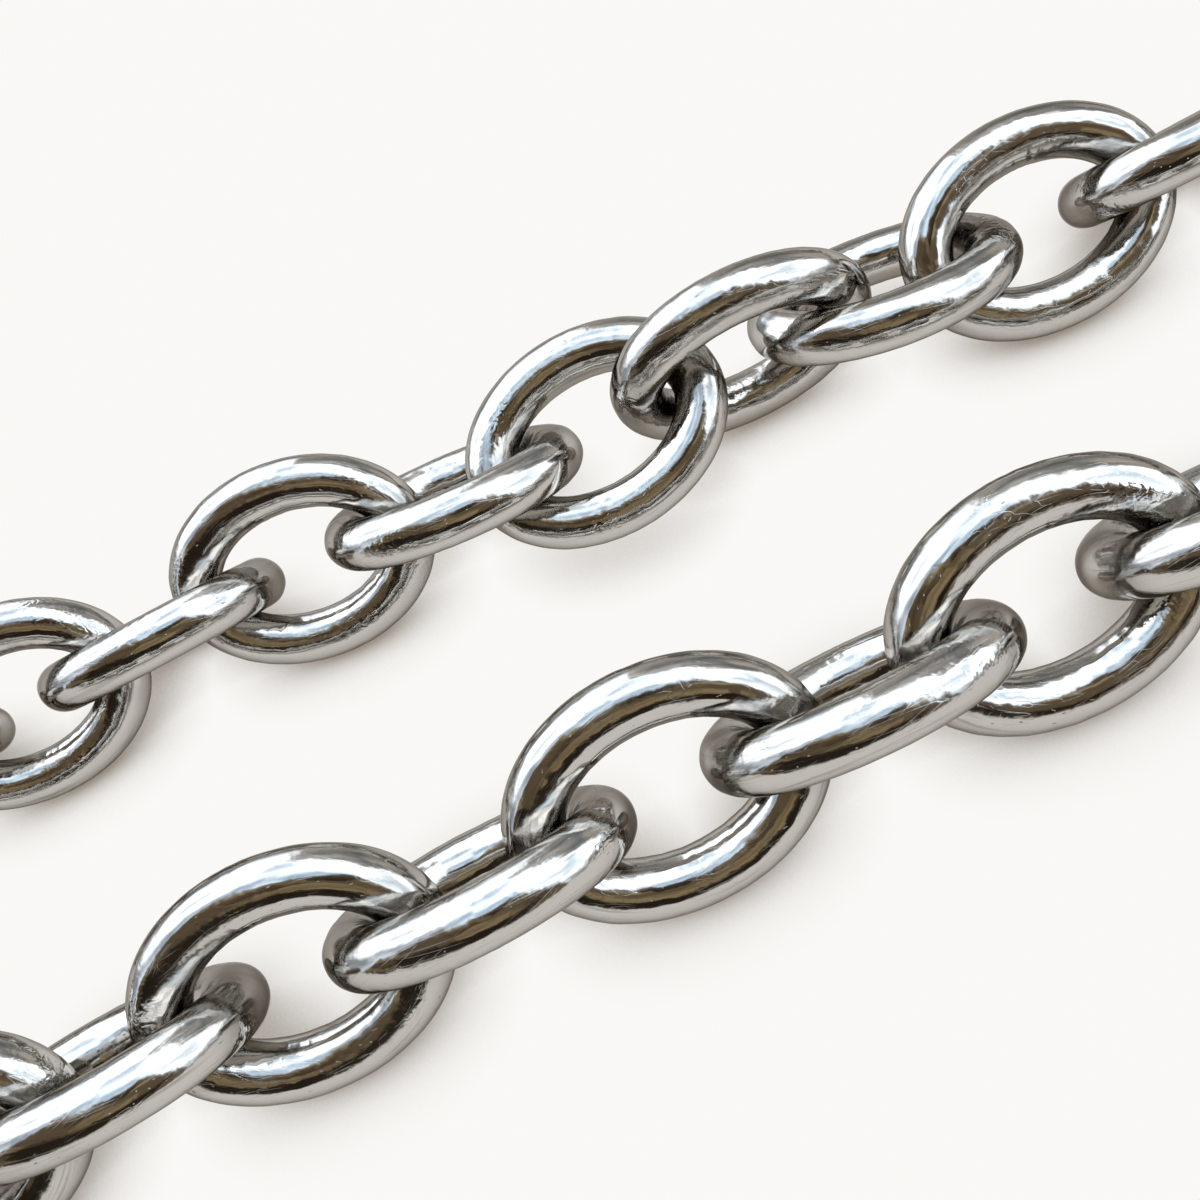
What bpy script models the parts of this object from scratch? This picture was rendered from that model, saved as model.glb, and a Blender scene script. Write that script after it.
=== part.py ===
"""A metre of welded round-bar chain, doubled back on itself and lying on a level floor.

Metres, +Z up. The near run lies along +X, the chain turns back beyond its right-hand end,
and the far run lies behind it. Every link is an oval of bent and welded bar. The links are
laid one after another: each leans on the floor at its own roll about the chain's line, and
is drawn out along that line until its bar meets the bar of the link before it.
"""

import itertools
import math

import bpy
import numpy as np
from mathutils import Euler, Matrix, Vector

# The link
BAR = 0.010
LINK_LENGTH = 0.053
LINK_WIDTH = 0.041
SEAT_GAP = 0.0004

# The chain's stretches, counted from its free end at the left of the near run
NEAR_LINKS = 11
TURN_LINKS = 8
FAR_LINKS = 12

# Headings, in degrees to the left of +X: the turn first swings out, then comes round step by step
SWING_OUT = -28
TURN_STEP = 36.5
SWING_BACK = 184
FAR_HEADING = 178

# Rolls about the chain's line, in degrees: 0 is flat and 90 is on edge
ROLL_OPEN = 52
ROLL_EDGE = 132
FAR_ROLL_OPEN = 120
FAR_ROLL_EDGE = 44
# How the far run's first ten links lie, as roll, nose up and sway off the run's heading. The
# run takes a quarter twist between its second and its seventh link.
FAR_LIE = (
    (120, 0, 0), (45, 0, 0), (136, 0, 0), (21, 7, 0), (80, 8, 4),
    (153, 0, 0), (33, 4, 0), (120, 0, -4), (44, 0, 0), (120, 0, 6))

# What a link may do to lie further out: nose up or down in degrees, shift sideways, and lift
# off the floor onto its neighbours. The costs are the reach that has to be won by each.
PITCHES = np.linspace(-6, 6, 5)
SHIFTS = np.linspace(-0.006, 0.006, 13)
LIFTS = np.linspace(0, 0.008, 5)
PITCH_COST = 0.00012
SHIFT_COST = 0.15
LIFT_COST = 0.5
TAUT_REACH = LINK_LENGTH - 2 * BAR - SEAT_GAP
SLACK_REACH = LINK_LENGTH - 2.8 * BAR
REACH_STEP = 0.001

# Fineness
BAR_SIDES = 10
LINK_SEGMENTS = 22
FIT_SAMPLES = 110

STEEL_COLOUR = (0.62, 0.62, 0.63, 1.0)
STEEL_ROUGHNESS = 0.16

HALF_LENGTH = (LINK_LENGTH - BAR) / 2
HALF_WIDTH = (LINK_WIDTH - BAR) / 2


def clear_scene():
    for obj in list(bpy.data.objects):
        bpy.data.objects.remove(obj)


def bright_steel():
    material = bpy.data.materials.new("bright_steel")
    material.use_nodes = True
    shader = material.node_tree.nodes["Principled BSDF"]
    shader.inputs["Base Color"].default_value = STEEL_COLOUR
    shader.inputs["Metallic"].default_value = 1.0
    shader.inputs["Roughness"].default_value = STEEL_ROUGHNESS
    return material


def oval(count):
    """Points of the bar's centre line, in the link's own plane."""
    angles = np.arange(count) * 2 * math.pi / count
    return np.stack([HALF_LENGTH * np.cos(angles), HALF_WIDTH * np.sin(angles), 0 * angles], axis=1)


OVAL = oval(FIT_SAMPLES)


def turned(heading, pitch, roll):
    """The rotation of a link with its long axis along the heading, in degrees."""
    angles = (math.radians(roll), math.radians(-pitch), math.radians(heading))
    return Euler(angles).to_matrix()


def facet_tilt(roll):
    """The twist of the bar's section that puts one of its flats underneath."""
    step = 360 / BAR_SIDES
    return -math.radians((roll - 180) % step)


def floor_height(pitch, roll):
    """How high a link's centre stands when its lower bar is on the floor, on a flat if it is level."""
    turn = turned(0, pitch, roll)
    if pitch == 0:
        flat = BAR / 2 * math.cos(math.pi / BAR_SIDES)
        return flat + HALF_WIDTH * math.cos(math.pi / LINK_SEGMENTS) * abs(turn[2][1])
    return BAR / 2 + math.hypot(HALF_LENGTH * turn[2][0], HALF_WIDTH * turn[2][1])


def nearest(first, second):
    """The least distance between two sets of points."""
    return np.sqrt(((first[:, None] - second[None]) ** 2).sum(axis=2).min())


def line_of(place, heading, pitch, roll):
    return OVAL @ np.array(turned(heading, pitch, roll)).T + np.array(place)


def taut_reach(fixed, start, along, attitude):
    """How far along the chain a link can be drawn before its bar meets the fixed one, or None."""
    line = line_of(start, *attitude)
    step = np.array(along)

    def clear(reach):
        return nearest(fixed, line + step * reach) > BAR + SEAT_GAP

    reaches = np.arange(TAUT_REACH, SLACK_REACH, -REACH_STEP)
    taut = next((reach for reach in reaches if clear(reach)), None)
    if taut is None:
        return None
    blocked = taut + REACH_STEP
    while blocked - taut > 1e-6:
        middle = (taut + blocked) / 2
        taut, blocked = (middle, blocked) if clear(middle) else (taut, middle)
    return taut


def attempts():
    """Every pitch, shift and lift that a link may take, with its cost, the cheapest first."""
    for pitch, shift, lift in itertools.product(PITCHES, SHIFTS, LIFTS):
        yield PITCH_COST * abs(pitch) + SHIFT_COST * abs(shift) + LIFT_COST * lift, pitch, shift, lift


def next_link(last, heading, nose, roll):
    """The place and attitude of the next link, drawn out as far from the last one as it can lie."""
    place, attitude = last
    middle = math.radians((attitude[0] + heading) / 2)
    along = Vector((math.cos(middle), math.sin(middle), 0))
    aside = Vector((-along.y, along.x, 0))
    fixed = line_of(place, *attitude)
    best = None
    for cost, more, shift, lift in sorted(attempts()):
        if best and TAUT_REACH - cost <= best[0]:
            break
        pitch = nose + more
        start = Vector((place.x, place.y, floor_height(pitch, roll) + lift)) + aside * shift
        reach = taut_reach(fixed, start, along, (heading, pitch, roll))
        if reach and (best is None or reach - cost > best[0]):
            best = (reach - cost, start + along * reach, (heading, pitch, roll))
    return best[1:]


def wanted_attitudes():
    """The heading, pitch and roll that each link would take, from the near run's free end on."""
    for index in range(NEAR_LINKS + TURN_LINKS):
        turned_links = index - NEAR_LINKS
        swing = min(SWING_OUT + TURN_STEP * max(turned_links - 1, 0), SWING_BACK)
        heading = swing if turned_links >= 0 else 0
        yield heading, 0, ROLL_EDGE if index % 2 else ROLL_OPEN
    for roll, nose, sway in FAR_LIE:
        yield FAR_HEADING + sway, nose, roll
    for index in range(len(FAR_LIE), FAR_LINKS):
        yield FAR_HEADING, 0, FAR_ROLL_OPEN if index % 2 else FAR_ROLL_EDGE


def laid_chain():
    """The place and attitude of every link, in order."""
    chain = []
    for heading, nose, roll in wanted_attitudes():
        if chain:
            chain.append(next_link(chain[-1], heading, nose, roll))
        else:
            chain.append((Vector((0, 0, floor_height(nose, roll))), (heading, nose, roll)))
    return chain


def link_curve(roll, material):
    curve = bpy.data.curves.new(f"link_roll_{roll}", "CURVE")
    curve.dimensions = "3D"
    curve.twist_mode = "Z_UP"
    curve.bevel_depth = BAR / 2
    curve.bevel_resolution = BAR_SIDES // 2 - 2
    spline = curve.splines.new("POLY")
    spline.use_cyclic_u = True
    spline.points.add(LINK_SEGMENTS - 1)
    for point, place in zip(spline.points, oval(LINK_SEGMENTS)):
        point.co = (*place, 1)
        point.tilt = facet_tilt(roll)
    curve.materials.append(material)
    return curve


def centre_on_floor(links):
    """Moves the chain so that the origin lies under the middle of its box, level with the floor."""
    bpy.context.view_layer.update()
    graph = bpy.context.evaluated_depsgraph_get()
    corners = []
    for link in links:
        mesh = link.evaluated_get(graph).to_mesh()
        corners += [link.matrix_world @ vertex.co for vertex in mesh.vertices]
    low, high = np.min(corners, axis=0), np.max(corners, axis=0)
    middle = Vector(((low[0] + high[0]) / 2, (low[1] + high[1]) / 2, low[2]))
    for link in links:
        link.location -= middle


def build():
    clear_scene()
    collection = bpy.data.collections.new("round_bar_chain")
    bpy.context.scene.collection.children.link(collection)
    material = bright_steel()
    curves = {}
    for number, (place, attitude) in enumerate(laid_chain(), start=1):
        roll = attitude[2]
        if roll not in curves:
            curves[roll] = link_curve(roll, material)
        link = bpy.data.objects.new(f"link_{number:02d}", curves[roll])
        link.matrix_world = Matrix.Translation(place) @ turned(*attitude).to_4x4()
        collection.objects.link(link)
    centre_on_floor(collection.objects)


build()
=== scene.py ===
"""A metre of bright plated round-bar chain, doubled back on itself and lying on a pale floor.

Each link of the frame is replaced by a finely modelled one: a bar bent to an oval, welded
shut in the middle of one side, ground, plated and then knocked about, so that its skin has
ripples, dents and nicks, and its bends are rubbed where the next link bears on them.
Metres, +Z up. The frame's near run lies along +X.
"""
import logging
import math
from dataclasses import dataclass, field
from enum import Enum
from typing import Any, Iterable, Mapping, Optional, Sequence, Union

import bpy
import numpy as np
from mathutils import Matrix, Vector


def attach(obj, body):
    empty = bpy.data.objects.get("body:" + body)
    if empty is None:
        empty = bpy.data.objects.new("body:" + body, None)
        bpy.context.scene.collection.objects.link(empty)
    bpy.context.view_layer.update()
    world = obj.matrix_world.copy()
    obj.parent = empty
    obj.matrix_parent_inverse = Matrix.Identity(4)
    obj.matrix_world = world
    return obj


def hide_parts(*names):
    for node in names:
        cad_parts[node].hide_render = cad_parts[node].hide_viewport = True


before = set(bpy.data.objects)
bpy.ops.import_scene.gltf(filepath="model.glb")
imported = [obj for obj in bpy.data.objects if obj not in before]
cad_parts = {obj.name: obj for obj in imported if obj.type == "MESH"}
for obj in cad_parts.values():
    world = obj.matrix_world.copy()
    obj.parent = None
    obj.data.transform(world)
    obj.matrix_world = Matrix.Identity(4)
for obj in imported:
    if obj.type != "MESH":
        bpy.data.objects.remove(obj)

LOG = logging.getLogger("chain")
PHOTO_SIDE = 1200
MM = 0.001

Colour = tuple[float, float, float]
Term = Union["Wire", float, Sequence[float]]


class Wire:
    """An output socket that takes part in Python expressions.

    Each operator adds the Math node that works the expression out for every shaded point.
    """

    def __init__(self, graph: "Graph", socket: bpy.types.NodeSocket) -> None:
        """Wraps one output socket of a graph's tree."""
        self.graph = graph
        self.socket = socket

    def __add__(self, other: Term) -> "Wire":
        """The sum of two values."""
        return self.graph.maths("ADD", self, other)

    def __radd__(self, other: Term) -> "Wire":
        """The sum with a number on the left."""
        return self.graph.maths("ADD", other, self)

    def __sub__(self, other: Term) -> "Wire":
        """The difference of two values."""
        return self.graph.maths("SUBTRACT", self, other)

    def __rsub__(self, other: Term) -> "Wire":
        """The difference from a number on the left."""
        return self.graph.maths("SUBTRACT", other, self)

    def __mul__(self, other: Term) -> "Wire":
        """The product of two values."""
        return self.graph.maths("MULTIPLY", self, other)

    def __rmul__(self, other: Term) -> "Wire":
        """The product with a number on the left."""
        return self.graph.maths("MULTIPLY", other, self)

    def __abs__(self) -> "Wire":
        """The value without its sign."""
        return self.graph.maths("ABSOLUTE", self, 0.0)


class Graph:
    """The node tree of one material or world."""

    def __init__(self, tree: bpy.types.NodeTree) -> None:
        """Empties a tree and takes it over."""
        self.tree = tree
        tree.nodes.clear()

    def node(self, kind: str, settings: Mapping[str, Any], sockets: Mapping[Union[str, int], Term],
             output: Union[str, int] = 0) -> Wire:
        """Adds any node.

        Args:
            kind: The node's type name.
            settings: Its properties, set before its sockets; "stops" holds a ramp's stops.
            sockets: The value or wire of each input, by name, identifier or number.
            output: The output that is wanted, by name, identifier or number.

        Returns:
            The wanted output, or the node's first input where it has no output.
        """
        made = self.tree.nodes.new(kind)
        for name, value in settings.items():
            if name == "stops":
                self._set_stops(made.color_ramp.elements, value)
            else:
                setattr(made, name, value)
        for key, term in sockets.items():
            socket = self._socket(made.inputs, key)
            if isinstance(term, Wire):
                self.tree.links.new(term.socket, socket)
            else:
                socket.default_value = term
        return Wire(self, self._socket(made.outputs or made.inputs, output))

    @staticmethod
    def _set_stops(elements: Any, stops: Sequence[tuple[float, Colour]]) -> None:
        """Gives a new ramp its stops, from left to right."""
        while len(elements) < len(stops):
            elements.new(1.0)
        for element, (position, colour) in zip(elements, stops):
            element.position = position
            element.color = (*colour, 1.0)

    @staticmethod
    def _socket(sockets: Any, key: Union[str, int]) -> bpy.types.NodeSocket:
        """Finds a socket by number, identifier or name."""
        if isinstance(key, int):
            return sockets[key]
        return next((s for s in sockets if s.identifier == key), None) or sockets[key]

    def maths(self, operation: str, first: Term, second: Term) -> Wire:
        """A Math node on two values."""
        return self.node("ShaderNodeMath", {"operation": operation}, {0: first, 1: second})

    def vector(self, operation: str, first: Term, second: Term) -> Wire:
        """A Vector Math node on two vectors."""
        return self.node("ShaderNodeVectorMath", {"operation": operation}, {0: first, 1: second})

    def mixed(self, factor: Term, first: Term, second: Term, blend: str = "MIX") -> Wire:
        """Mixes two colours.

        Args:
            factor: How much of the second colour shows.
            first: The colour at factor 0.
            second: The colour at factor 1.
            blend: How the second colour is laid on the first.

        Returns:
            The mixed colour.
        """
        sockets = {"Factor_Float": factor, "A_Color": first, "B_Color": second}
        settings = {"data_type": "RGBA", "blend_type": blend}
        return self.node("ShaderNodeMix", settings, sockets, "Result_Color")

    def attribute(self, name: str, output: str = "Vector") -> Wire:
        """A value that the mesh holds for each of its points."""
        return self.node("ShaderNodeAttribute", {"attribute_name": name}, {}, output)

    def noise(self, place: Term, scale: float, detail: float = 2.0, rough: float = 0.5) -> Wire:
        """Cloudy noise about 0.5, with `scale` clouds to the unit of `place`."""
        sockets = {"Vector": place, "Scale": scale, "Detail": detail, "Roughness": rough}
        return self.node("ShaderNodeTexNoise", {}, sockets)

    def step(self, value: Term, low: float, high: float, at_low: float = 0.0,
             at_high: float = 1.0) -> Wire:
        """A smooth step of a value.

        Args:
            value: What is stepped.
            low: The value at which the step starts.
            high: The value at which it is over.
            at_low: The result up to the start.
            at_high: The result past the end.

        Returns:
            The stepped value.
        """
        sockets = {"Value": value, "From Min": low, "From Max": high, "To Min": at_low, "To Max": at_high}
        return self.node("ShaderNodeMapRange", {"interpolation_type": "SMOOTHSTEP"}, sockets)

    def stretched(self, place: Term, stretch: Sequence[float], turn: Sequence[float] = (0, 0, 0)) -> Wire:
        """A place turned by angles in degrees and then scaled along each axis."""
        angles = [math.radians(angle) for angle in turn]
        settings = {"vector_type": "TEXTURE"}
        back = {"Vector": place, "Rotation": angles, "Scale": [1 / share for share in stretch]}
        return self.node("ShaderNodeMapping", settings, back)


@dataclass(frozen=True)
class Viewpoint:
    """The camera: a target on the floor, and where the camera hangs about it.

    Angles are in degrees. The bearing counts to the right of straight across the chain, and
    the tilt turns the camera about its own line of sight.
    """

    target: tuple[float, float, float] = (-0.02465, 0.02458, 0.0)
    distance: float = 0.2192
    bearing: float = 3.70
    height: float = 52.98
    tilt: float = -29.86
    focus_pixels: float = 1148.5
    sensor: float = 36.0

    def place(self) -> bpy.types.Object:
        """Adds the camera and makes it the scene's own."""
        bearing, height = math.radians(self.bearing), math.radians(self.height)
        back = Vector((math.cos(height) * math.sin(bearing), -math.cos(height) * math.cos(bearing),
                       math.sin(height)))
        level = Vector((math.cos(bearing), math.sin(bearing), 0))
        raised = back.cross(level)
        tilt = Matrix.Rotation(math.radians(self.tilt), 3, "Z")
        axes = Matrix((level, raised, back)).transposed() @ tilt
        data = bpy.data.cameras.new("camera")
        data.sensor_width = self.sensor
        data.lens = self.focus_pixels / PHOTO_SIDE * self.sensor
        data.clip_start = 0.01
        camera = bpy.data.objects.new("camera", data)
        camera.matrix_world = Matrix.Translation(Vector(self.target) + back * self.distance) @ axes.to_4x4()
        bpy.context.scene.collection.objects.link(camera)
        bpy.context.scene.camera = camera
        return camera


class MarkKind(Enum):
    """The sorts of mark that the bar's skin carries."""

    DENT = "dent"
    NICK = "nick"
    WELD = "weld"


@dataclass(frozen=True)
class Mark:
    """One mark on a bar's skin.

    Lengths are in millimetres: `along` is the place on the bar's line, `length` and `width`
    are the mark's reach, and `depth` is how deep it goes. `around` is the place about the
    bar's section, with 0 on the outside of the bend, and `slant` turns the mark on the skin,
    both in radians.
    """

    kind: MarkKind
    along: float
    around: float
    length: float
    width: float
    depth: float
    slant: float = 0.0

    def relief(self, along: np.ndarray, around: np.ndarray) -> np.ndarray:
        """How far the mark moves the skin outwards.

        Args:
            along: The distance of each point from the mark, on the bar's line.
            around: Its distance from the mark about the section.

        Returns:
            The move of each point, in millimetres.
        """
        if self.kind is MarkKind.WELD:
            spread = np.exp(-(along / self.length) ** 4)
            rings = np.cos(2 * math.pi * along / self.width + 0.5 * np.sin(around * 0.9 + self.slant))
            return self.depth * spread * rings
        cos, sin = math.cos(self.slant), math.sin(self.slant)
        far = (along * cos + around * sin) / self.length
        wide = (around * cos - along * sin) / self.width
        ring = np.sqrt(far ** 2 + wide ** 2)
        hollow = -np.exp(-ring ** 2)
        lip = 0.3 * np.exp(-((ring - 1.5) / 0.45) ** 2)
        return self.depth * (hollow + lip)


@dataclass(frozen=True)
class Waves:
    """A seamless uneven field over a link's skin, made of waves along and about the bar.

    `along` and `about` are the most waves that a turn along the bar's line, or about its
    section, can hold. The finer the wave, the weaker it is, by `fade`.
    """

    count: int
    along: int
    about: int
    fade: float = 0.11

    def field(self, chance: np.random.Generator, turn: np.ndarray, around: np.ndarray) -> np.ndarray:
        """The field, with a mean of 0 and a spread of about 1.

        Args:
            chance: Where the waves are drawn from.
            turn: The place along the bar's line, as an angle of the whole turn.
            around: The angle about the section.

        Returns:
            The field's value at each point.
        """
        total = np.zeros(np.broadcast(turn, around).shape)
        power = 0.0
        for _ in range(self.count):
            far, about = int(chance.integers(0, self.along)), int(chance.integers(-self.about, self.about + 1))
            weight = 1 / (1 + self.fade * far + 4 * self.fade * abs(about))
            total += weight * np.cos(far * turn + about * around + chance.uniform(0, 2 * math.pi))
            power += weight ** 2 / 2
        return total / math.sqrt(power)


@dataclass(frozen=True)
class BrightPlate:
    """Bright plating on polished bar: close to a mirror, with the marks of drawing and use, and painted shade on
    its bends.

    Heights are in millimetres.
    """

    colour: Colour = (0.541, 0.521, 0.489)
    rubbed: Colour = (0.46, 0.45, 0.435)
    # The colour of the painted shade that darkens the bends.
    painted_bend_shade: Colour = (0.275, 0.255, 0.233)
    streaked: Colour = (0.35, 0.335, 0.31)
    soot: Colour = (0.10, 0.085, 0.07)
    # The edge tint is painted shade: it darkens the mirror towards each bar's outline, where real metal grows
    # brighter.
    edge: Colour = (0.42, 0.40, 0.38)
    smooth: float = 0.088
    ripple: float = 0.038
    drawn_line: float = 0.005
    stroke: float = 0.0042
    scratch: float = 0.008
    tick: float = 0.036
    pit: float = 0.03
    crease: float = 0.25

    def material(self) -> bpy.types.Material:
        """Builds the finish, which reads the places, the wear and the painted shade on the bends that each link's
        mesh holds.
        """
        made = bpy.data.materials.new("bright_plate")
        made.use_nodes = True
        graph = Graph(made.node_tree)
        place = graph.attribute("skin_place")
        lines = graph.attribute("bar_lines")
        wear = graph.attribute("wear")
        rubbed, clouded, creased = (graph.node("ShaderNodeSeparateXYZ", {}, {"Vector": wear}, axis)
                                    for axis in "XYZ")
        scratches = self._scratches(graph, lines, clouded)
        ticks = self._spots(graph, graph.stretched(lines, (0.20, 1.3, 1.3), (15, 0, 28)), 0.09)
        pits = self._spots(graph, graph.stretched(lines, (0.22, 0.6, 0.6)), 0.09) * clouded
        height = self._height(graph, place, lines, clouded, rubbed, creased)
        height = height - scratches * self.scratch - ticks * self.tick - pits * self.pit
        normal = graph.node("ShaderNodeBump", {}, {"Strength": 1.0, "Distance": MM, "Height": height})
        streaks = graph.noise(graph.stretched(lines, (0.05, 0.9, 0.9)), 1.0, 2.0, 0.6)
        colour = graph.mixed(graph.step(streaks, 0.55, 0.80), (*self.colour, 1), (*self.streaked, 1))
        colour = graph.mixed(rubbed, colour, (*self.rubbed, 1))
        # Painted shade: the bends are darkened in cloudy patches, standing in for their darker reflections.
        colour = graph.mixed(graph.attribute("painted_bend_shade", "Fac"), colour, (*self.painted_bend_shade, 1))
        colour = graph.mixed(pits * 0.8, colour, (*self.soot, 1))
        roughness = self.smooth + clouded * 0.07 + scratches * 0.10 + rubbed * 0.14
        # The edge tint paints shade along the bars' outlines.
        sockets = {"Base Color": colour, "Metallic": 1.0, "Roughness": roughness, "Normal": normal,
                   "Specular Tint": (*self.edge, 1)}
        shader = graph.node("ShaderNodeBsdfPrincipled", {}, sockets)
        graph.node("ShaderNodeOutputMaterial", {}, {"Surface": shader})
        return made

    def _scratches(self, graph: Graph, lines: Wire, clouded: Wire) -> Wire:
        """Fine curved scratches, 1 on a scratch and 0 off it, in two directions."""
        found = None
        for turn in (14, -40):
            across = graph.noise(graph.stretched(lines, (0.06, 0.8, 0.8), (turn, turn / 2, 0)), 1.0, 0.0)
            line = graph.step(abs(across - 0.5), 0.0, 0.012, 1.0, 0.0)
            found = line if found is None else graph.maths("MAXIMUM", found, line)
        return found * clouded

    @staticmethod
    def _spots(graph: Graph, place: Wire, size: float) -> Wire:
        """Scattered small spots, 1 in a spot and 0 beside it."""
        cells = graph.node("ShaderNodeTexVoronoi", {"feature": "F1"}, {"Vector": place, "Scale": 1.0}, "Distance")
        return graph.step(cells, size * 0.6, size, 1.0, 0.0)

    def _height(self, graph: Graph, place: Wire, lines: Wire, clouded: Wire, rubbed: Wire,
                creased: Wire) -> Wire:
        """The skin's ripples, drawn lines, grinding strokes and creases in millimetres.

        Args:
            graph: The material's tree.
            place: The place on the skin.
            lines: The place with its first axis laid along the bar.
            clouded: Where the plating is cloudy.
            rubbed: Where the next link has rubbed.
            creased: Where knocks have left the skin creased.

        Returns:
            The height.
        """
        ripples = (graph.noise(place, 0.70, 1.0, 0.5) - 0.5) * (0.35 + clouded)
        drawn = graph.noise(graph.stretched(lines, (0.035, 1.0, 1.0)), 1.0, 1.0) - 0.5
        strokes = (graph.noise(graph.stretched(lines, (2.3, 0.2, 0.2), (0, 8, 12)), 1.0, 0.0) - 0.5) * clouded
        creases = abs(graph.noise(place, 0.56, 1.5, 0.5) - 0.5) * (creased + rubbed * 0.25)
        height = ripples * self.ripple + drawn * self.drawn_line
        return height + strokes * self.stroke + creases * self.crease


@dataclass
class Link:
    """One oval link of round bar, in its own axes: +X along the chain, +Z out of its plane."""

    number: int
    pose: Matrix
    bar: float = 0.010
    length: float = 0.053
    width: float = 0.041
    stations: int = 200
    sides: int = 56
    waviness: float = 0.019
    rub_depth: float = 0.16
    wrinkle: float = 0.022
    dents: int = 11
    nicks: int = 9
    creases: int = 9
    random: np.random.Generator = field(init=False)

    def __post_init__(self) -> None:
        """Gives the link its own repeatable run of chance."""
        self.random = np.random.default_rng(700 + self.number)

    @property
    def name(self) -> str:
        """The name of the node that the link stands for."""
        return f"link_{self.number:02d}"

    def line(self) -> tuple[np.ndarray, np.ndarray, np.ndarray]:
        """The bar's centre line, evenly divided.

        Returns:
            The stations' places, the outward directions there, and their distances along the
            line, in metres. The last distance is the whole line's length.
        """
        fine = np.linspace(0, 2 * math.pi, 4001)
        half_length, half_width = (self.length - self.bar) / 2, (self.width - self.bar) / 2
        oval = np.stack([half_length * np.cos(fine), half_width * np.sin(fine)], axis=1)
        run = np.concatenate([[0], np.cumsum(np.linalg.norm(np.diff(oval, axis=0), axis=1))])
        along = np.linspace(0, run[-1], self.stations + 1)
        angle = np.interp(along[:-1], run, fine)
        places = np.stack([half_length * np.cos(angle), half_width * np.sin(angle), 0 * angle], axis=1)
        outward = np.stack([half_width * np.cos(angle), half_length * np.sin(angle), 0 * angle], axis=1)
        return places, outward / np.linalg.norm(outward, axis=1)[:, None], along

    def marks(self, run: float) -> Iterable[Mark]:
        """The marks on this link's skin, on a line that is `run` millimetres long."""
        chance = self.random
        side = run * (0.25 if self.number % 4 < 2 else 0.75)
        yield Mark(MarkKind.WELD, side, 0, 4.5, 1.9, 0.016, chance.uniform(0, 6))
        for _ in range(self.dents):
            size = chance.uniform(0.9, 2.4)
            yield Mark(MarkKind.DENT, chance.uniform(0, run), chance.uniform(0, 2 * math.pi),
                       size * chance.uniform(1, 1.8), size, size * chance.uniform(0.02, 0.05),
                       chance.uniform(0, math.pi))
        for _ in range(self.nicks):
            bend = chance.choice([0, 0.5])
            yield Mark(MarkKind.NICK, run * (bend + chance.normal(0, 0.07)) % run,
                       chance.uniform(0, 2 * math.pi), chance.uniform(0.9, 2.2),
                       chance.uniform(0.30, 0.5), chance.uniform(0.04, 0.09), chance.uniform(0, math.pi))

    def wear(self, turn: np.ndarray, around: np.ndarray, run: float) -> np.ndarray:
        """How worn the skin is, for the finish to read.

        Args:
            turn: The place along the bar's line, as an angle of the whole turn.
            around: The angle about the section.
            run: The bar's line in millimetres.

        Returns:
            For each point, from 0 to 1, how rubbed, how cloudy and how creased it is.
        """
        along, radius = turn / (2 * math.pi) * run, self.bar / 2 / MM
        patchy = Waves(60, 40, 9, 0.02).field(self.random, turn, around)
        rubbed = self.rub(along, around, run) * np.clip(0.65 + 0.5 * patchy, 0, 1)
        clouded = np.clip(0.5 + 0.35 * Waves(40, 16, 4).field(self.random, turn, around), 0, 1)
        creased = np.zeros(patchy.shape)
        for _ in range(self.creases):
            bend, centre = self.random.choice([0, 0.5]), self.random.uniform(0, 2 * math.pi)
            far = along - run * (bend + self.random.normal(0, 0.11))
            far = (far + run / 2) % run - run / 2
            about = ((around - centre + math.pi) % (2 * math.pi) - math.pi) * radius
            spread = self.random.uniform(1.4, 3.4)
            creased += np.exp(-(far / spread / 1.6) ** 2 - (about / spread) ** 2)
        return np.stack([rubbed, clouded, np.clip(creased, 0, 1)], axis=-1)

    @staticmethod
    def from_bend(along: np.ndarray, run: float) -> np.ndarray:
        """The distance along the bar from the middle of the nearer bend."""
        return (along + run / 4) % (run / 2) - run / 4

    def rub(self, along: np.ndarray, around: np.ndarray, run: float) -> np.ndarray:
        """How hard the next link bears on each point, from 0 to 1: inside the two bends."""
        inside = np.exp(-(np.abs(around - math.pi) / 1.15) ** 2)
        return np.exp(-(self.from_bend(along, run) / 7.5) ** 2) * inside

    def wrinkles(self, along: np.ndarray, around: np.ndarray, run: float) -> np.ndarray:
        """The low rings that bending has left across the bar, in millimetres."""
        far = self.from_bend(along, run)
        sway = 0.8 * np.sin(around + self.random.uniform(0, 2 * math.pi))
        rings = np.cos(2 * math.pi * far / 2.9 + sway + self.random.uniform(0, 2 * math.pi))
        return self.wrinkle * rings * np.exp(-(far / 4.6) ** 2)

    def painted_bend_shade(self, turn: np.ndarray, around: np.ndarray, run: float) -> np.ndarray:
        """How much painted shade darkens the plating, from 0 to 1: in cloudy patches on the two bends, in place
        of the darker reflections there.
        """
        far = self.from_bend(turn / (2 * math.pi) * run, run)
        patchy = np.clip(0.42 + 0.42 * Waves(24, 15, 3, 0.08).field(self.random, turn, around), 0, 1)
        return patchy * np.exp(-(far / 7.5) ** 4)

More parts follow.
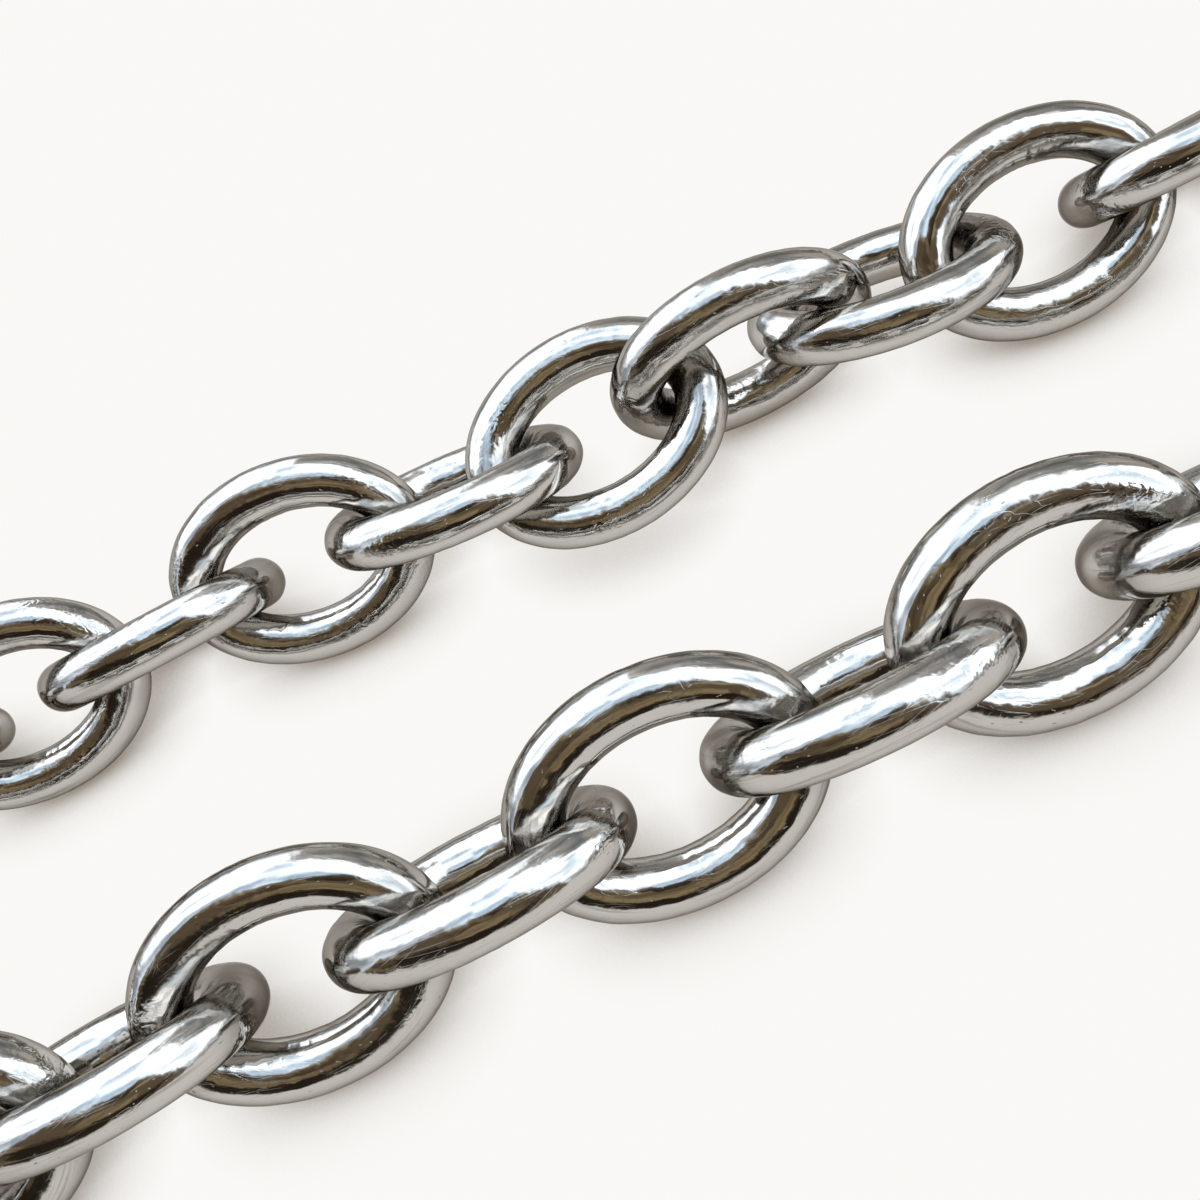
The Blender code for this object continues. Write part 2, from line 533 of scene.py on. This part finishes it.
    def skin(self) -> tuple[np.ndarray, dict[str, np.ndarray]]:
        """The link's skin with all its marks.

        Returns:
            The points in metres, station by station, and the values that the finish reads.
        """
        places, outward, distances = self.line()
        run = distances[-1] / MM
        along = distances[:-1, None] / MM
        around = np.arange(self.sides)[None, :] * 2 * math.pi / self.sides
        radius = self.bar / 2 / MM
        turn = along / run * 2 * math.pi
        rise = self.waviness * Waves(46, 46, 7).field(self.random, turn, around)
        for mark in self.marks(run):
            far = (along - mark.along + run / 2) % run - run / 2
            about = ((around - mark.around + math.pi) % (2 * math.pi) - math.pi) * radius
            rise = rise + mark.relief(far, about)
        rise = rise - self.rub_depth * self.rub(along, around, run) + self.wrinkles(along, around, run)
        skin = (np.cos(around)[..., None] * outward[:, None] + np.sin(around)[..., None] * (0, 0, 1))
        points = places[:, None] + (radius + rise)[..., None] * MM * skin
        shift = self.number * 41.0
        lines = np.stack(np.broadcast_arrays(np.abs(along - run / 2) + shift, radius * np.cos(around),
                                             radius * np.sin(around)), axis=-1)
        values = {"skin_place": points / MM + (shift, 0, 0), "bar_lines": lines,
                  "wear": self.wear(turn, around, run)}
        # Painted shade on the bends, for the finish to read.
        painted_bend_shade = self.painted_bend_shade(turn, around, run)
        values["painted_bend_shade"] = np.stack([painted_bend_shade, painted_bend_shade, painted_bend_shade], axis=-1)
        return points.reshape(-1, 3), values

    def build(self, finish: bpy.types.Material) -> bpy.types.Object:
        """Makes the link, dresses it and puts it in its node's place.

        Args:
            finish: The plating.

        Returns:
            The finished piece.
        """
        points, values = self.skin()
        mesh = bpy.data.meshes.new(self.name + "_bar")
        mesh.from_pydata(points.tolist(), [], self.faces().tolist())
        mesh.shade_smooth()
        for name, value in values.items():
            layer = mesh.attributes.new(name, "FLOAT_VECTOR", "POINT")
            layer.data.foreach_set("vector", value.astype(np.float32).ravel())
        mesh.materials.append(finish)
        piece = bpy.data.objects.new(self.name + "_plated", mesh)
        piece.matrix_world = self.pose
        bpy.context.scene.collection.objects.link(piece)
        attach(piece, "root")
        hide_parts(self.name)
        LOG.info("%s: %d faces, centre %s", piece.name, len(mesh.polygons),
                 [round(value, 4) for value in self.pose.translation])
        return piece

    def faces(self) -> np.ndarray:
        """The skin's four-sided faces, as numbers of its points."""
        station = np.arange(self.stations)[:, None]
        side = np.arange(self.sides)[None, :]
        after, beside = (station + 1) % self.stations, (side + 1) % self.sides
        corners = [(station, side), (after, side), (after, beside), (station, beside)]
        return np.stack([row * self.sides + column for row, column in corners], axis=-1).reshape(-1, 4)


class Chain:
    """All the links, each laid where its node of the frame lies."""

    def __init__(self) -> None:
        """Reads the links' places from the frame's nodes."""
        names = sorted(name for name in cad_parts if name.startswith("link_"))
        clouds = [self._points(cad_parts[name].data) for name in names]
        middles = np.array([cloud.mean(axis=0) for cloud in clouds])
        heads = np.gradient(middles, axis=0)
        self.links = [Link(number, self._pose(cloud, head))
                      for number, (cloud, head) in enumerate(zip(clouds, heads), start=1)]

    @staticmethod
    def _points(mesh: bpy.types.Mesh) -> np.ndarray:
        """The places of a mesh's points, each once."""
        places = np.zeros(len(mesh.vertices) * 3)
        mesh.vertices.foreach_get("co", places)
        return np.unique(places.reshape(-1, 3).round(7), axis=0)

    @staticmethod
    def _pose(cloud: np.ndarray, head: np.ndarray) -> Matrix:
        """The pose of a link from the points of its node.

        Args:
            cloud: The node's points.
            head: Which way the chain runs there.

        Returns:
            The link's axes and centre.
        """
        middle = cloud.mean(axis=0)
        axes = np.linalg.svd(cloud - middle, full_matrices=False)[2]
        along = axes[0] * math.copysign(1, axes[0] @ head)
        plane = axes[2] * math.copysign(1, axes[2][2])
        turned = np.stack([along, np.cross(plane, along), plane], axis=1)
        return Matrix.Translation(Vector(middle)) @ Matrix(turned.tolist()).to_4x4()

    def build(self, finish: bpy.types.Material) -> list[bpy.types.Object]:
        """Makes every link in the given finish."""
        return [link.build(finish) for link in self.links]


@dataclass(frozen=True)
class Card:
    """A soft-edged area of what stands round the chain, as the plating mirrors it.

    Angles are in degrees. The bearing of its middle counts from the viewer's side to the
    right, and `low` and `high` are its lower and upper edges above the floor's horizon.
    """

    bearing: float
    half_width: float
    low: float
    high: float
    soft: float
    colours: tuple[Colour, Colour]

    def laid_on(self, graph: Graph, under: Wire, bearing: Wire, height: Wire,
                pattern: Optional[Wire] = None) -> Wire:
        """Lays the card over the surround.

        Args:
            graph: The world's tree.
            under: The surround without the card.
            bearing: The bearing of each direction.
            height: Its angle above the horizon.
            pattern: What the card shows in place of its two colours.

        Returns:
            The surround with the card on it, its first colour low and its second high.
        """
        settings = {"operation": "WRAP"}
        off = graph.node("ShaderNodeMath", settings, {0: bearing - self.bearing, 1: 180.0, 2: -180.0})
        inside = graph.step(abs(off), self.half_width + self.soft, self.half_width - self.soft)
        inside = inside * graph.step(height, self.high + self.soft, self.high - self.soft)
        inside = inside * graph.step(height, self.low - self.soft, self.low + self.soft)
        lower, upper = self.colours
        colour = graph.mixed(graph.step(height, self.low, self.high), (*lower, 1), (*upper, 1))
        return graph.mixed(inside, under, pattern or colour)


@dataclass(frozen=True)
class Studio:
    """A pale floor under a wide cool sky of cloth, with a dim brown stand on the viewer's side."""

    bearing: float = 3.70
    floor_colour: Colour = (0.952, 0.940, 0.918)
    floor_shade: Colour = (0.235, 0.192, 0.148)
    shade_reach: float = 0.013
    mirrored_reach: float = 0.032
    reach: float = 3.0
    backdrop: Colour = (0.952, 0.940, 0.918)
    sky: tuple[tuple[float, Colour], ...] = (
        (0, (0.10, 0.09, 0.08)), (4, (0.30, 0.29, 0.28)), (12, (0.62, 0.66, 0.70)),
        (22, (1.75, 1.85, 1.95)), (50, (1.95, 2.12, 2.3)), (90, (1.85, 2.05, 2.25)))
    cards: tuple[Card, ...] = (
        Card(-135, 38, 14, 66, 5, ((2.0, 2.1, 2.2), (2.7, 2.7, 2.7))),
        Card(72, 24, 12, 62, 5, ((1.9, 2.05, 2.15), (2.4, 2.5, 2.6))),
        Card(-92, 12, -20, 68, 7, ((0.30, 0.29, 0.28), (0.85, 0.95, 1.1))),
        Card(-24, 62, -20, 78, 6, ((1.0, 1.2, 1.4), (1.15, 1.38, 1.6))),
        Card(135, 36, 3, 52, 3, ((0.34, 0.315, 0.28), (0.62, 0.58, 0.535))))
    stand: Card = Card(-24, 60, -20, 66, 2, ((0.05, 0.05, 0.05), (0.05, 0.05, 0.05)))
    slats: tuple[tuple[float, Colour], ...] = (
        (0.0, (0.020, 0.015, 0.012)), (0.34, (0.030, 0.022, 0.015)), (0.44, (0.14, 0.10, 0.062)),
        (0.62, (0.19, 0.147, 0.09)), (0.74, (0.39, 0.295, 0.165)), (1.0, (0.47, 0.40, 0.28)))
    veil: Colour = (0.44, 0.51, 0.59)
    ragged: float = 7.0

    def build(self, pieces: Sequence[bpy.types.Object]) -> bpy.types.Object:
        """Lights the studio and lays the floor under the lowest piece."""
        self._surround()
        return self._floor(min(self._lowest(piece) for piece in pieces))

    @staticmethod
    def _lowest(piece: bpy.types.Object) -> float:
        """The height of a piece's lowest point."""
        return min((piece.matrix_world @ vertex.co).z for vertex in piece.data.vertices)

    def _floor(self, height: float) -> bpy.types.Object:
        """The floor at a height: a pale sheet that glows evenly, with shade painted into its glow close to what
        lies on it.
        """
        mesh = bpy.data.meshes.new("floor")
        far = self.reach
        mesh.from_pydata([(-far, -far, height), (far, -far, height), (far, far, height), (-far, far, height)],
                         [], [(0, 1, 2, 3)])
        made = bpy.data.materials.new("pale_floor")
        made.use_nodes = True
        graph = Graph(made.node_tree)
        # Painted shadow: occlusion darkens the glowing floor near the chain, over a longer reach where the
        # plating mirrors it.
        mirrored = graph.node("ShaderNodeLightPath", {}, {}, "Is Glossy Ray")
        reach = self.shade_reach + mirrored * (self.mirrored_reach - self.shade_reach)
        open_share = graph.node("ShaderNodeAmbientOcclusion", {"samples": 6}, {"Distance": reach}, "AO")
        lit = graph.step(open_share, 0.08, 0.95)
        colour = graph.mixed(lit, (*self.floor_shade, 1), (*self.floor_colour, 1))
        glow = graph.node("ShaderNodeEmission", {}, {"Color": colour, "Strength": 1.0})
        graph.node("ShaderNodeOutputMaterial", {}, {"Surface": glow})
        mesh.materials.append(made)
        floor = bpy.data.objects.new("floor", mesh)
        bpy.context.scene.collection.objects.link(floor)
        return floor

    def _surround(self) -> None:
        """Paints what the plating mirrors above the floor, and shows a plain backdrop behind it."""
        world = bpy.data.worlds.new("studio")
        world.use_nodes = True
        bpy.context.scene.world = world
        graph = Graph(world.node_tree)
        way = graph.node("ShaderNodeTexCoord", {}, {}, "Generated")
        x, y, z = (graph.node("ShaderNodeSeparateXYZ", {}, {"Vector": way}, axis) for axis in "XYZ")
        degrees = 180 / math.pi
        clouds = graph.noise(graph.stretched(way, (1.0, 1.0, 2.0)), 3.6, 3.0, 0.6)
        height = graph.maths("ARCSINE", z, 0.0) * degrees + (clouds - 0.5) * (2 * self.ragged)
        bearing = graph.maths("ARCTAN2", x, 0.0 - y) * degrees - self.bearing
        stops = [(angle / 90, colour) for angle, colour in self.sky]
        light = graph.node("ShaderNodeValToRGB", {"stops": stops}, {"Fac": height * (1 / 90)}, "Color")
        for card in self.cards:
            light = card.laid_on(graph, light, bearing, height)
        veil = graph.mixed(graph.step(self._veil(graph, way), 0.24, 0.70), (*self.veil, 1), (1.72, 1.74, 1.78, 1))
        light = graph.mixed(1.0, light, veil, "MULTIPLY")
        light = self.stand.laid_on(graph, light, bearing, height, self._slats(graph, bearing, height))
        rays = graph.node("ShaderNodeLightPath", {}, {}, "Is Camera Ray")
        seen = graph.mixed(rays, light, (*self.backdrop, 1))
        shader = graph.node("ShaderNodeBackground", {}, {"Color": seen, "Strength": 1.0})
        graph.node("ShaderNodeOutputWorld", {}, {"Surface": shader})

    def _slats(self, graph: Graph, bearing: Wire, height: Wire) -> Wire:
        """The stand's front: wide uneven slats, from nearly black to tan."""
        place = graph.node("ShaderNodeCombineXYZ", {}, {0: bearing * (1 / 34), 1: height * (1 / 11), 2: 0.0})
        settings = {"feature": "F1", "voronoi_dimensions": "2D"}
        cell = graph.node("ShaderNodeTexVoronoi", settings, {"Vector": place, "Scale": 1.0}, "Color")
        pick = graph.node("ShaderNodeSeparateXYZ", {}, {"Vector": cell}, "X")
        tone = pick * 0.62 + graph.step(height, -5, self.stand.high) * 0.38
        return graph.node("ShaderNodeValToRGB", {"stops": list(self.slats)}, {"Fac": tone}, "Color")

    @staticmethod
    def _veil(graph: Graph, way: Wire) -> Wire:
        """Where thin blue cloth dims the light: long soft lengths of it."""
        return graph.noise(graph.stretched(way, (1.0, 1.5, 1.5), (0, 0, 25)), 1.9, 1.0, 0.3)


def main() -> None:
    """Builds the camera, the chain and the studio."""
    logging.basicConfig(level=logging.INFO, format="%(message)s")
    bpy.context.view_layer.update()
    Viewpoint().place()
    bpy.context.scene.view_settings.view_transform = "Standard"
    pieces = Chain().build(BrightPlate().material())
    floor = Studio().build(pieces)
    LOG.info("floor at %.5f m", floor.data.vertices[0].co.z)


if __name__ == "__main__":
    main()
